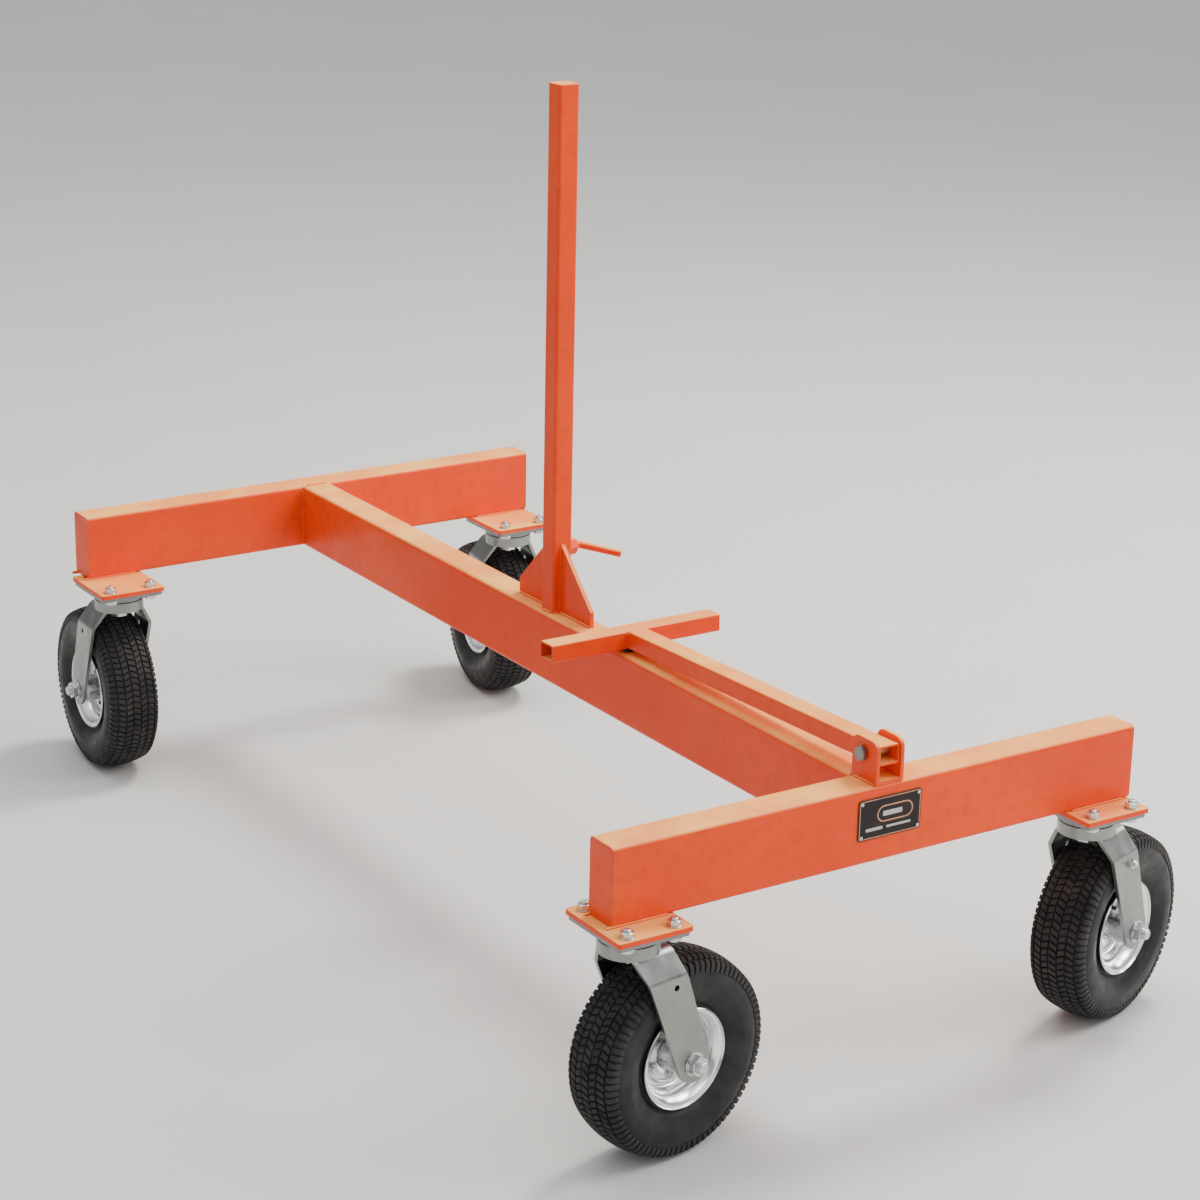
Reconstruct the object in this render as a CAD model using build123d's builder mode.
"""Wheeled H-frame base for a pitching machine: steel tube chassis, mast, folding tow
handle and four swivel casters with pneumatic wheels. Millimetres, +Z up, origin on the
ground under the middle of the frame, -Y towards the tow handle's hinge."""
from build123d import *
from math import cos, radians, sin
import os

# ---- chassis -------------------------------------------------------------------------
FRAME_WIDTH = 812.8          # along X, both cross beams
FRAME_LENGTH = 1574.8        # along Y, outside to outside
BEAM_HEIGHT = 101.6
BEAM_WIDTH = 50.8
BEAM_WALL = 3.2
BEAM_CORNER = 6.0
CAP_THICKNESS = 3.0
BEAM_BOTTOM = 326.35
BEAM_TOP = BEAM_BOTTOM + BEAM_HEIGHT
CROSS_BEAM_Y = (FRAME_LENGTH - BEAM_WIDTH) / 2

# ---- caster stations: name, x, y, heading of the trail in degrees, side of the axle nut,
# ---- angle of the tyre valve above the trail
CASTERS = [
    ("front_left", -370.0, -769.0, 8.3, -1, 100.0),
    ("front_right", 352.0, -769.0, 17.4, -1, 124.0),
    ("rear_left", -370.0, 706.0, 87.7, 1, 200.0),
    ("rear_right", 352.0, 706.0, 81.1, 1, 320.0),
]
BOLTED_LEG = "front_right"
MOUNT_PLATE = (106.0, 120.0, 6.35)
TOP_PLATE = (101.6, 114.3, 6.0)
BOLT_SPACING = (66.7, 92.1)
BOLT_RADIUS = 5.0
BOLT_HOLE_RADIUS = 5.25
BOLT_FLATS = 16.0
BOLT_HEAD = 6.4
NUT_HEIGHT = 8.0
BOLT_END = 3.0

# ---- caster --------------------------------------------------------------------------
TRAIL = 66.0
WHEEL_RADIUS = 132.0
TYRE_HALF_WIDTH = 42.0
PLATE_TOP = BEAM_BOTTOM - MOUNT_PLATE[2]
PLATE_BOTTOM = PLATE_TOP - TOP_PLATE[2]
CROWN_TOP = 290.0
CROWN_HALF = 31.0            # flat top, before the sloping shoulders
SHOULDER_Z = 255.0           # where the shoulders turn down into the legs
FORK_SHEET = 5.0
FORK_HALF_GAP = 45.5
FORK_BEND = 14.0
LEG_END_RADIUS = 25.0
LEG_HOLE = (34.0, 242.0)     # along the trail, above the ground
LEG_BOLT_RADIUS = 4.0
LEG_BOLT_FLATS = 13.0
CROWN_BACK = -20.0
CROWN_FRONT = 40.0
CROWN_DEPTH = 8.0
KINGPIN_RADIUS = 8.0
KINGPIN_CLEARANCE = 0.08
RACE_RADIUS = 31.0
RACE_WIDTH = 15.0
BALL_RADIUS = 3.97
BALL_COUNT = 18
RACE_CLEARANCE = 0.15
RACE_GAP = 0.75
BALL_Z = 302.0
AXLE_RADIUS = 7.94
AXLE_CLEARANCE = 0.06
BEARING_OUTER = 17.45
HUB_RADIUS = 21.0
HUB_HALF = 42.0
HUB_FLANGE = 44.0
RIM_SHEET = 2.5
RIM_BOLT_CIRCLE = 33.0
RIM_BOLTS = 5
RIM_BOLT_RADIUS = 4.0
HUB_FLANGE_HALF = 2.0
VALVE_BASE = 8.7
VALVE_CIRCLE = 42.0

# ---- mast ----------------------------------------------------------------------------
MAST_SIZE = 31.75
MAST_WALL = 3.0
MAST_CORNER = 4.0
MAST_Y = -10.0
MAST_TOP = 1186.0
MAST_CAP = 3.0
GUSSET_THICKNESS = 6.35
GUSSET_REACH = 80.0
GUSSET_HEIGHT = 103.0
GUSSET_NOSE = 23.0
CLAMP_Z = 521.0
CLAMP_STEM_RADIUS = 6.0
CLAMP_NUT_FLATS = 22.0
CLAMP_NUT_LENGTH = 13.0
CLAMP_ROD_RADIUS = 5.5
CLAMP_ROD_LENGTH = 62.0

# ---- tow handle ----------------------------------------------------------------------
PIVOT_Y = -760.0
PIVOT_Z = 464.0
HANDLE_TILT = 1.75           # degrees below level, at rest
TOW_TUBE_WIDTH = 31.75
TOW_TUBE_HEIGHT = 25.4
TOW_WALL = 2.4
TOW_CORNER = 3.0
TOW_TAIL = 24.0              # tube in front of the pivot
CROSSBAR_REACH = 553.0       # pivot to the middle of the crossbar
CROSSBAR_LENGTH = 278.0
EAR_GAP = TOW_TUBE_WIDTH + 1.2
EAR_SHEET = 5.0
EAR_TOP = 484.0
EAR_BACK = -738.0
EAR_FRONT = -787.0
EAR_CORNER = 12.0
PIVOT_RADIUS = 6.0
BUSH_RADIUS = 8.5
PAD_THICKNESS = 5.5

# ---- nameplate -----------------------------------------------------------------------
PLATE_SIZE = (98.0, 54.0)
PLATE_CENTRE = (2.0, 386.5)
PLATE_SHEET = 1.5


def save(builder, label):
    builder.part.label = label
    export_step(builder.part, f"parts/{label}.step")


def add_tube(plane, width, height, corner, wall, length):
    """A straight hollow tube of rounded rectangular section, grown along plane.z_dir."""
    with BuildSketch(plane) as section:
        RectangleRounded(width, height, corner)
        RectangleRounded(width - 2 * wall, height - 2 * wall, corner / 2, mode=Mode.SUBTRACT)
    extrude(section.sketch, amount=length)


def along_x(x, y, z):
    return Plane(origin=(x, y, z), x_dir=(0, 1, 0), z_dir=(1, 0, 0))


def along_y(x, y, z):
    return Plane(origin=(x, y, z), x_dir=(-1, 0, 0), z_dir=(0, 1, 0))


def make_beams():
    beam_middle = BEAM_BOTTOM + BEAM_HEIGHT / 2
    half = FRAME_WIDTH / 2 - CAP_THICKNESS
    for label, y in (("front_cross_beam", -CROSS_BEAM_Y), ("rear_cross_beam", CROSS_BEAM_Y)):
        with BuildPart() as beam:
            start = along_x(-half, y, beam_middle)
            add_tube(start, BEAM_WIDTH, BEAM_HEIGHT, BEAM_CORNER, BEAM_WALL, 2 * half)
        save(beam, label)
    inner = FRAME_LENGTH / 2 - BEAM_WIDTH
    with BuildPart() as centre:
        start = along_y(0, -inner, beam_middle)
        add_tube(start, BEAM_WIDTH, BEAM_HEIGHT, BEAM_CORNER, BEAM_WALL, 2 * inner)
    save(centre, "centre_beam")
    with BuildPart() as caps:
        for y in (-CROSS_BEAM_Y, CROSS_BEAM_Y):
            for x in (-FRAME_WIDTH / 2, half):
                with BuildSketch(along_x(x, y, beam_middle)):
                    RectangleRounded(BEAM_WIDTH, BEAM_HEIGHT, BEAM_CORNER)
                extrude(amount=CAP_THICKNESS)
    save(caps, "beam_end_caps")


def make_caster_mounting():
    with BuildPart() as plates:
        for _, x, y, _, _, _ in CASTERS:
            with BuildSketch(Plane.XY.offset(PLATE_TOP)):
                with Locations((x, y)):
                    RectangleRounded(MOUNT_PLATE[0], MOUNT_PLATE[1], 4)
                    with GridLocations(*BOLT_SPACING, 2, 2):
                        Circle(BOLT_HOLE_RADIUS, mode=Mode.SUBTRACT)
            extrude(amount=MOUNT_PLATE[2])
    save(plates, "caster_mount_plates")
    with BuildPart() as bolts:
        for _, x, y, _, _, _ in CASTERS:
            for dx in (-BOLT_SPACING[0] / 2, BOLT_SPACING[0] / 2):
                for dy in (-BOLT_SPACING[1] / 2, BOLT_SPACING[1] / 2):
                    add_caster_bolt(x + dx, y + dy)
    save(bolts, "caster_bolts")


def add_caster_bolt(x, y):
    """A hex bolt from below. Its nut goes on top, except under a beam, where it is tapped."""
    under_beam = abs(abs(y) - CROSS_BEAM_Y) < BEAM_WIDTH / 2
    with BuildSketch(Plane.XY.offset(PLATE_BOTTOM - BOLT_HEAD)) as head:
        with Locations((x, y)):
            RegularPolygon(BOLT_FLATS / 2, 6, major_radius=False)
    extrude(head.sketch, amount=BOLT_HEAD)
    length = BEAM_BOTTOM - PLATE_BOTTOM
    if not under_beam:
        length = length + NUT_HEIGHT + BOLT_END
        with BuildSketch(Plane.XY.offset(BEAM_BOTTOM)) as nut:
            with Locations((x, y)):
                RegularPolygon(BOLT_FLATS / 2, 6, major_radius=False)
        extrude(nut.sketch, amount=NUT_HEIGHT)
    with BuildSketch(Plane.XY.offset(PLATE_BOTTOM)) as shank:
        with Locations((x, y)):
            Circle(BOLT_RADIUS)
    extrude(shank.sketch, amount=length)


class Station:
    """The planes of one caster: x_dir along the trail, y_dir along the axle."""

    def __init__(self, x, y, heading):
        self.king = Vector(x, y, 0)
        self.trail = Vector(cos(radians(heading)), sin(radians(heading)), 0)
        self.axle = Vector(-self.trail.Y, self.trail.X, 0)
        self.hub = self.king + self.trail * TRAIL + Vector(0, 0, WHEEL_RADIUS)

    def side_plane(self, offset=0.0):
        """Local x along the trail and y up, looking along the axle."""
        origin = self.king + self.axle * offset
        return Plane(origin=origin, x_dir=self.trail, z_dir=self.axle * -1)

    def cross_plane(self, offset=0.0):
        """Local x along the axle and y up, at a distance along the trail."""
        origin = self.king + self.trail * offset
        return Plane(origin=origin, x_dir=self.axle, z_dir=self.trail)

    def wheel_section(self):
        """Local x along the axle and y as the radius, with the hub at its origin."""
        return Plane(origin=self.hub, x_dir=self.axle, z_dir=self.trail)

    def across_axle(self, offset):
        """Looks along the axle, at a distance from the wheel's middle."""
        return Plane(origin=self.hub + self.axle * offset, x_dir=self.trail, z_dir=self.axle)

    def king_axis(self):
        return Axis(self.king, (0, 0, 1))

    def axle_axis(self):
        return Axis(self.hub, self.axle)


def make_top_plate(name, x, y, station):
    with BuildPart() as plate:
        with BuildSketch(Plane.XY.offset(PLATE_BOTTOM)):
            with Locations((x, y)):
                RectangleRounded(TOP_PLATE[0], TOP_PLATE[1], 5)
                Circle(KINGPIN_RADIUS, mode=Mode.SUBTRACT)
                with GridLocations(*BOLT_SPACING, 2, 2):
                    Circle(BOLT_HOLE_RADIUS, mode=Mode.SUBTRACT)
        extrude(amount=TOP_PLATE[2])
        lip = BALL_Z + RACE_GAP
        with BuildSketch(station.side_plane()):
            with Locations((RACE_RADIUS, (lip + PLATE_BOTTOM) / 2)):
                Rectangle(RACE_WIDTH, PLATE_BOTTOM - lip)
            with Locations((RACE_RADIUS, BALL_Z)):
                Circle(BALL_RADIUS + RACE_CLEARANCE, mode=Mode.SUBTRACT)
        revolve(axis=station.king_axis())
    save(plate, f"{name}_top_plate")


def make_kingpin(name, x, y):
    crown_bottom = CROWN_TOP - FORK_SHEET
    washer_top = crown_bottom - 0.3
    nut_top = washer_top - 2.5
    nut_bottom = nut_top - 10
    with BuildPart() as kingpin:
        with BuildSketch(Plane.XY.offset(nut_bottom - 2)):
            with Locations((x, y)):
                Circle(KINGPIN_RADIUS)
        extrude(amount=PLATE_TOP - nut_bottom + 2)
        with BuildSketch(Plane.XY.offset(nut_bottom)):
            with Locations((x, y)):
                RegularPolygon(12, 6, major_radius=False)
        extrude(amount=nut_top - nut_bottom)
        with BuildSketch(Plane.XY.offset(nut_top)):
            with Locations((x, y)):
                Circle(15)
        extrude(amount=washer_top - nut_top)
    save(kingpin, f"{name}_kingpin")


def make_swivel_balls(name, x, y):
    with BuildPart() as balls:
        with Locations((x, y, BALL_Z)):
            with PolarLocations(RACE_RADIUS, BALL_COUNT):
                Sphere(BALL_RADIUS)
    save(balls, f"{name}_swivel_balls")


def make_fork(name, station):
    outside = FORK_HALF_GAP + FORK_SHEET
    low = WHEEL_RADIUS - 2 * LEG_END_RADIUS
    with BuildPart() as fork:
        with BuildSketch(station.cross_plane(CROWN_BACK)):
            with BuildLine():
                FilletPolyline(
                    (-outside, low), (-outside, SHOULDER_Z), (-CROWN_HALF, CROWN_TOP),
                    (CROWN_HALF, CROWN_TOP), (outside, SHOULDER_Z), (outside, low),
                    radius=FORK_BEND,
                )
                Line((outside, low), (-outside, low))
            make_face()
            offset(amount=-FORK_SHEET, mode=Mode.SUBTRACT)
        extrude(amount=TRAIL + LEG_END_RADIUS - CROWN_BACK)
        with BuildSketch(station.side_plane(outside)):
            with Locations(((CROWN_BACK + CROWN_FRONT) / 2, CROWN_TOP - CROWN_DEPTH / 2)):
                Rectangle(CROWN_FRONT - CROWN_BACK, CROWN_DEPTH)
            with Locations((TRAIL, WHEEL_RADIUS)):
                Circle(LEG_END_RADIUS)
            make_hull()
        extrude(amount=2 * outside, mode=Mode.INTERSECT)
        with BuildSketch(Plane.XY.offset(CROWN_TOP - FORK_SHEET)):
            with Locations((station.king.X, station.king.Y)):
                Circle(RACE_RADIUS + RACE_WIDTH / 2)
        extrude(amount=FORK_SHEET)
        rim = BALL_Z - RACE_GAP
        with BuildSketch(station.side_plane()):
            with Locations((RACE_RADIUS, (CROWN_TOP + rim) / 2)):
                Rectangle(RACE_WIDTH, rim - CROWN_TOP)
            with Locations((RACE_RADIUS, BALL_Z)):
                Circle(BALL_RADIUS + RACE_CLEARANCE, mode=Mode.SUBTRACT)
        revolve(axis=station.king_axis())
        with BuildSketch(Plane.XY.offset(CROWN_TOP - 2 * FORK_SHEET)):
            with Locations((station.king.X, station.king.Y)):
                Circle(KINGPIN_RADIUS + KINGPIN_CLEARANCE)
        extrude(amount=4 * FORK_SHEET, mode=Mode.SUBTRACT)
        with BuildSketch(station.across_axle(-outside)):
            Circle(AXLE_RADIUS)
        extrude(amount=2 * outside, mode=Mode.SUBTRACT)
        with BuildSketch(station.side_plane(outside)):
            with Locations(LEG_HOLE):
                Circle(LEG_BOLT_RADIUS)
        extrude(amount=2 * outside, mode=Mode.SUBTRACT)
    save(fork, f"{name}_fork")


def make_leg_bolt(name, station, side):
    """A short hex bolt through the small hole of one fork leg, nut outside."""
    outside = FORK_HALF_GAP + FORK_SHEET
    head, nut, thread_end = 2.0, 6.5, 4.0
    with BuildPart() as bolt:
        with BuildSketch(station.side_plane(side * (FORK_HALF_GAP - head))):
            with Locations(LEG_HOLE):
                RegularPolygon(LEG_BOLT_FLATS / 2, 6, major_radius=False)
        extrude(amount=-side * head)
        with BuildSketch(station.side_plane(side * FORK_HALF_GAP)):
            with Locations(LEG_HOLE):
                Circle(LEG_BOLT_RADIUS)
        extrude(amount=-side * (FORK_SHEET + nut + thread_end))
        with BuildSketch(station.side_plane(side * outside)):
            with Locations(LEG_HOLE):
                RegularPolygon(LEG_BOLT_FLATS / 2, 6, major_radius=False)
        extrude(amount=-side * nut)
    save(bolt, f"{name}_leg_bolt")


def make_axle(name, station, nut_side):
    """Axle bolt with its nut and washer on the nut side, and a spacer inside each leg."""
    outside = FORK_HALF_GAP + FORK_SHEET
    washer, nut, head, thread_end = 2.0, 10.0, 8.0, 6.0
    reach = outside + washer + nut + thread_end
    with BuildPart() as axle:
        with BuildSketch(station.across_axle(-nut_side * outside)):
            Circle(AXLE_RADIUS)
        extrude(amount=nut_side * (outside + reach))
        with BuildSketch(station.across_axle(-nut_side * outside)):
            RegularPolygon(12, 6, major_radius=False)
        extrude(amount=-nut_side * head)
        with BuildSketch(station.across_axle(nut_side * outside)):
            Circle(15)
        extrude(amount=nut_side * washer)
        with BuildSketch(station.across_axle(nut_side * (outside + washer))):
            RegularPolygon(12, 6, major_radius=False)
        extrude(amount=nut_side * nut)
        for side in (-1, 1):
            with BuildSketch(station.across_axle(side * FORK_HALF_GAP)):
                Circle(12)
            extrude(amount=-side * (FORK_HALF_GAP - HUB_HALF - 1.8))
    save(axle, f"{name}_axle")


def make_tyre(name, station):
    shoulder = 40.0
    with BuildPart() as tyre:
        with BuildSketch(station.wheel_section()):
            with BuildLine():
                ThreePointArc((-33, 127), (0, WHEEL_RADIUS), (33, 127))
                ThreePointArc((33, 127), (37.6, 123.6), (shoulder, 118))
                ThreePointArc((shoulder, 118), (TYRE_HALF_WIDTH, 92), (28.8, 68))
                Polyline((28.8, 68), (28.8, 54.2), (26.8, 52.2), (21, 52.2), (21, 62))
                ThreePointArc((21, 62), (36, 92), (29, 120))
                ThreePointArc((29, 120), (0, 124.5), (-29, 120))
                ThreePointArc((-29, 120), (-36, 92), (-21, 62))
                Polyline((-21, 62), (-21, 52.2), (-26.8, 52.2), (-28.8, 54.2), (-28.8, 68))
                ThreePointArc((-28.8, 68), (-TYRE_HALF_WIDTH, 92), (-shoulder, 118))
                ThreePointArc((-shoulder, 118), (-37.6, 123.6), (-33, 127))
            make_face()
        revolve(axis=station.axle_axis())
    save(tyre, f"{name}_tyre")


def rim_bolt_places(valve_angle):
    """The rim's bolt circle in an across_axle sketch, whose y axis points down."""
    return PolarLocations(RIM_BOLT_CIRCLE, RIM_BOLTS, start_angle=180 / RIM_BOLTS - valve_angle)


def make_rim(name, station, valve_angle):
    """Two pressed halves: bolted disc, bead seat, and a flange with a rolled lip."""
    half_profile = [
        (2, HUB_RADIUS), (2, 43), (9.5, 50.5), (27, 52), (29, 54), (29, 67), (33.5, 67),
        (33.5, 64.5), (31.5, 64.5), (31.5, 52.5), (28.2, 49.3), (10.5, 48), (4.5, 41.5),
        (4.5, HUB_RADIUS),
    ]
    with BuildPart() as rim:
        for side in (-1, 1):
            with BuildSketch(station.wheel_section()):
                Polygon(*[(side * a, r) for a, r in half_profile], align=None)
            revolve(axis=station.axle_axis())
        with BuildSketch(station.across_axle(-10)):
            with rim_bolt_places(valve_angle):
                Circle(RIM_BOLT_RADIUS)
        extrude(amount=20, mode=Mode.SUBTRACT)
    save(rim, f"{name}_rim")


def make_hub(name, station, valve_angle):
    """Bearing tube, and a flange whose studs and nuts hold the two rim halves."""
    with BuildPart() as hub:
        with BuildSketch(station.wheel_section()):
            with Locations((0, (BEARING_OUTER + HUB_RADIUS) / 2)):
                Rectangle(2 * HUB_HALF, HUB_RADIUS - BEARING_OUTER)
            with Locations((0, (HUB_RADIUS + HUB_FLANGE) / 2 - 1)):
                Rectangle(2 * HUB_FLANGE_HALF, HUB_FLANGE - HUB_RADIUS)
        revolve(axis=station.axle_axis())
        reach = HUB_FLANGE_HALF + RIM_SHEET + 7
        with BuildSketch(station.across_axle(-reach)):
            with rim_bolt_places(valve_angle):
                Circle(RIM_BOLT_RADIUS)
        extrude(amount=2 * reach)
        for side in (-1, 1):
            with BuildSketch(station.across_axle(side * (HUB_FLANGE_HALF + RIM_SHEET))):
                with rim_bolt_places(valve_angle):
                    RegularPolygon(6.5, 6, major_radius=False)
            extrude(amount=side * 5)
    save(hub, f"{name}_hub")


def make_bearings(name, station):
    bore = AXLE_RADIUS + AXLE_CLEARANCE
    width, flange = 11.0, 1.5
    with BuildPart() as bearings:
        for side in (-1, 1):
            with BuildSketch(station.wheel_section()):
                with Locations((side * (HUB_HALF - width / 2), (bore + BEARING_OUTER) / 2)):
                    Rectangle(width, BEARING_OUTER - bore)
                with Locations((side * (HUB_HALF + flange / 2), (bore + BEARING_OUTER + 2) / 2)):
                    Rectangle(flange, BEARING_OUTER + 2 - bore)
            revolve(axis=station.axle_axis())
    save(bearings, f"{name}_bearings")


def make_valve(name, station, nut_side, valve_angle):
    with BuildPart() as valve:
        with BuildSketch(station.across_axle(nut_side * VALVE_BASE)):
            with PolarLocations(VALVE_CIRCLE, 1, start_angle=-valve_angle):
                Circle(3.8)
        extrude(amount=nut_side * 9)
        with BuildSketch(station.across_axle(nut_side * (VALVE_BASE + 9))):
            with PolarLocations(VALVE_CIRCLE, 1, start_angle=-valve_angle):
                Circle(2.8)
        extrude(amount=nut_side * 12)
    save(valve, f"{name}_valve")


def make_casters():
    for name, x, y, heading, nut_side, valve_angle in CASTERS:
        station = Station(x, y, heading)
        make_top_plate(name, x, y, station)
        make_kingpin(name, x, y)
        make_swivel_balls(name, x, y)
        make_fork(name, station)
        make_axle(name, station, nut_side)
        make_tyre(name, station)
        make_rim(name, station, valve_angle)
        make_hub(name, station, valve_angle)
        make_bearings(name, station)
        make_valve(name, station, nut_side, valve_angle)
        if name == BOLTED_LEG:
            make_leg_bolt(name, station, nut_side)


def make_mast():
    half = MAST_SIZE / 2
    with BuildPart() as tube:
        base = Plane(origin=(0, MAST_Y, BEAM_TOP))
        add_tube(base, MAST_SIZE, MAST_SIZE, MAST_CORNER, MAST_WALL, MAST_TOP - MAST_CAP - BEAM_TOP)
        with BuildSketch(along_x(0, MAST_Y, CLAMP_Z)):
            Circle(CLAMP_STEM_RADIUS + 0.4)
        extrude(amount=MAST_SIZE, mode=Mode.SUBTRACT)
    save(tube, "mast_tube")
    with BuildPart() as cap:
        with BuildSketch(Plane(origin=(0, MAST_Y, MAST_TOP - MAST_CAP))):
            RectangleRounded(MAST_SIZE, MAST_SIZE, MAST_CORNER)
        extrude(amount=MAST_CAP)
        chamfer(cap.edges().group_by(Axis.Z)[-1], 0.6)
    save(cap, "mast_cap")
    with BuildPart() as gussets:
        for side in (-1, 1):
            face = MAST_Y + side * half
            outline = [
                (face, BEAM_TOP),
                (face + side * GUSSET_REACH, BEAM_TOP),
                (face + side * GUSSET_REACH, BEAM_TOP + GUSSET_NOSE),
                (face, BEAM_TOP + GUSSET_HEIGHT),
            ]
            with BuildSketch(Plane.YZ.offset(-GUSSET_THICKNESS / 2)):
                Polygon(*outline, align=None)
            extrude(amount=GUSSET_THICKNESS)
    save(gussets, "mast_gussets")
    with BuildPart() as nut:
        with BuildSketch(along_x(half, MAST_Y, CLAMP_Z)):
            RegularPolygon(CLAMP_NUT_FLATS / 2, 6, major_radius=False)
            Circle(CLAMP_STEM_RADIUS + 0.08, mode=Mode.SUBTRACT)
        extrude(amount=CLAMP_NUT_LENGTH)
    save(nut, "clamp_nut")


def make_clamp_screw():
    half = MAST_SIZE / 2
    tip = half - MAST_WALL - 6
    elbow = half + CLAMP_NUT_LENGTH + 9
    lean = Vector(0.80, -0.55, -0.20).normalized()
    with BuildPart() as screw:
        with BuildSketch(along_x(tip, MAST_Y, CLAMP_Z)):
            Circle(CLAMP_STEM_RADIUS)
        extrude(amount=elbow - tip)
        with Locations((elbow, MAST_Y, CLAMP_Z)):
            Sphere(CLAMP_STEM_RADIUS)
        with BuildSketch(Plane(origin=(elbow, MAST_Y, CLAMP_Z), z_dir=lean)):
            Circle(CLAMP_ROD_RADIUS)
        extrude(amount=CLAMP_ROD_LENGTH)
        fillet(screw.edges().sort_by(Axis.X)[-1], 1.5)
    save(screw, "clamp_screw")


def make_hitch():
    outside = EAR_GAP / 2 + EAR_SHEET
    with BuildPart() as bracket:
        with BuildSketch(Plane.YZ.offset(-outside)):
            with BuildLine():
                FilletPolyline(
                    (EAR_BACK, BEAM_TOP), (EAR_BACK, EAR_TOP), (EAR_FRONT, EAR_TOP),
                    (EAR_FRONT, BEAM_TOP), radius=EAR_CORNER,
                )
                Line((EAR_FRONT, BEAM_TOP), (EAR_BACK, BEAM_TOP))
            make_face()
            with Locations((PIVOT_Y, PIVOT_Z)):
                Circle(PIVOT_RADIUS, mode=Mode.SUBTRACT)
        extrude(amount=2 * outside)
        slot_height = EAR_TOP - BEAM_TOP
        with BuildSketch(along_y(0, EAR_FRONT - 5, BEAM_TOP + EAR_SHEET + slot_height / 2)):
            Rectangle(EAR_GAP, slot_height)
        extrude(amount=EAR_BACK - EAR_FRONT + 10, mode=Mode.SUBTRACT)
    save(bracket, "hitch_bracket")
    with BuildPart() as bolt:
        reach = outside + 2 + 10 + 4
        with BuildSketch(along_x(-outside, PIVOT_Y, PIVOT_Z)):
            Circle(PIVOT_RADIUS)
        extrude(amount=outside + reach)
        with BuildSketch(along_x(-outside, PIVOT_Y, PIVOT_Z)):
            RegularPolygon(9, 6, major_radius=False)
        extrude(amount=-7.5)
        with BuildSketch(along_x(outside, PIVOT_Y, PIVOT_Z)):
            Circle(12)
        extrude(amount=2)
        with BuildSketch(along_x(outside + 2, PIVOT_Y, PIVOT_Z)):
            RegularPolygon(9, 6, major_radius=False)
        extrude(amount=10)
    save(bolt, "tow_pivot_bolt")


def handle_plane(distance):
    """A plane across the tow tube, at a distance from the pivot, normal along the tube."""
    direction = Vector(0, cos(radians(HANDLE_TILT)), -sin(radians(HANDLE_TILT)))
    origin = Vector(0, PIVOT_Y, PIVOT_Z) + direction * distance
    return Plane(origin=origin, x_dir=(-1, 0, 0), z_dir=direction)


def make_tow_handle():
    crossbar_back = CROSSBAR_REACH - TOW_TUBE_WIDTH / 2
    with BuildPart() as tube:
        length = crossbar_back + TOW_TAIL
        add_tube(handle_plane(-TOW_TAIL), TOW_TUBE_WIDTH, TOW_TUBE_HEIGHT, TOW_CORNER, TOW_WALL, length)
        with BuildSketch(along_x(-TOW_TUBE_WIDTH, PIVOT_Y, PIVOT_Z)):
            Circle(BUSH_RADIUS)
        extrude(amount=2 * TOW_TUBE_WIDTH, mode=Mode.SUBTRACT)
    save(tube, "tow_tube")
    with BuildPart() as bush:
        with BuildSketch(along_x(-TOW_TUBE_WIDTH / 2, PIVOT_Y, PIVOT_Z)):
            Circle(BUSH_RADIUS)
            Circle(PIVOT_RADIUS + 0.08, mode=Mode.SUBTRACT)
        extrude(amount=TOW_TUBE_WIDTH)
    save(bush, "tow_pivot_bush")
    across = handle_plane(CROSSBAR_REACH)
    with BuildPart() as crossbar:
        start = Plane(
            origin=across.origin + Vector(-CROSSBAR_LENGTH / 2, 0, 0),
            x_dir=across.z_dir,
            z_dir=(1, 0, 0),
        )
        add_tube(start, TOW_TUBE_WIDTH, TOW_TUBE_HEIGHT, TOW_CORNER, TOW_WALL, CROSSBAR_LENGTH)
    save(crossbar, "tow_crossbar")
    with BuildPart() as pad:
        with BuildSketch(Plane(origin=(0, across.origin.Y, BEAM_TOP))):
            RectangleRounded(30, 25, 3)
        extrude(amount=PAD_THICKNESS)
    save(pad, "handle_rest_pad")


def make_nameplate():
    face = -FRAME_LENGTH / 2
    with BuildPart() as plate:
        with BuildSketch(along_y(PLATE_CENTRE[0], face - PLATE_SHEET, PLATE_CENTRE[1])):
            RectangleRounded(PLATE_SIZE[0], PLATE_SIZE[1], 4)
        extrude(amount=PLATE_SHEET)
    save(plate, "nameplate")
    with BuildPart() as rivets:
        with BuildSketch(along_y(PLATE_CENTRE[0], face - PLATE_SHEET - 1, PLATE_CENTRE[1])):
            with GridLocations(PLATE_SIZE[0] - 10, PLATE_SIZE[1] - 10, 2, 2):
                Circle(2)
        extrude(amount=1)
    save(rivets, "nameplate_rivets")


os.makedirs("parts", exist_ok=True)
make_beams()
make_caster_mounting()
make_casters()
make_mast()
make_clamp_screw()
make_hitch()
make_tow_handle()
make_nameplate()
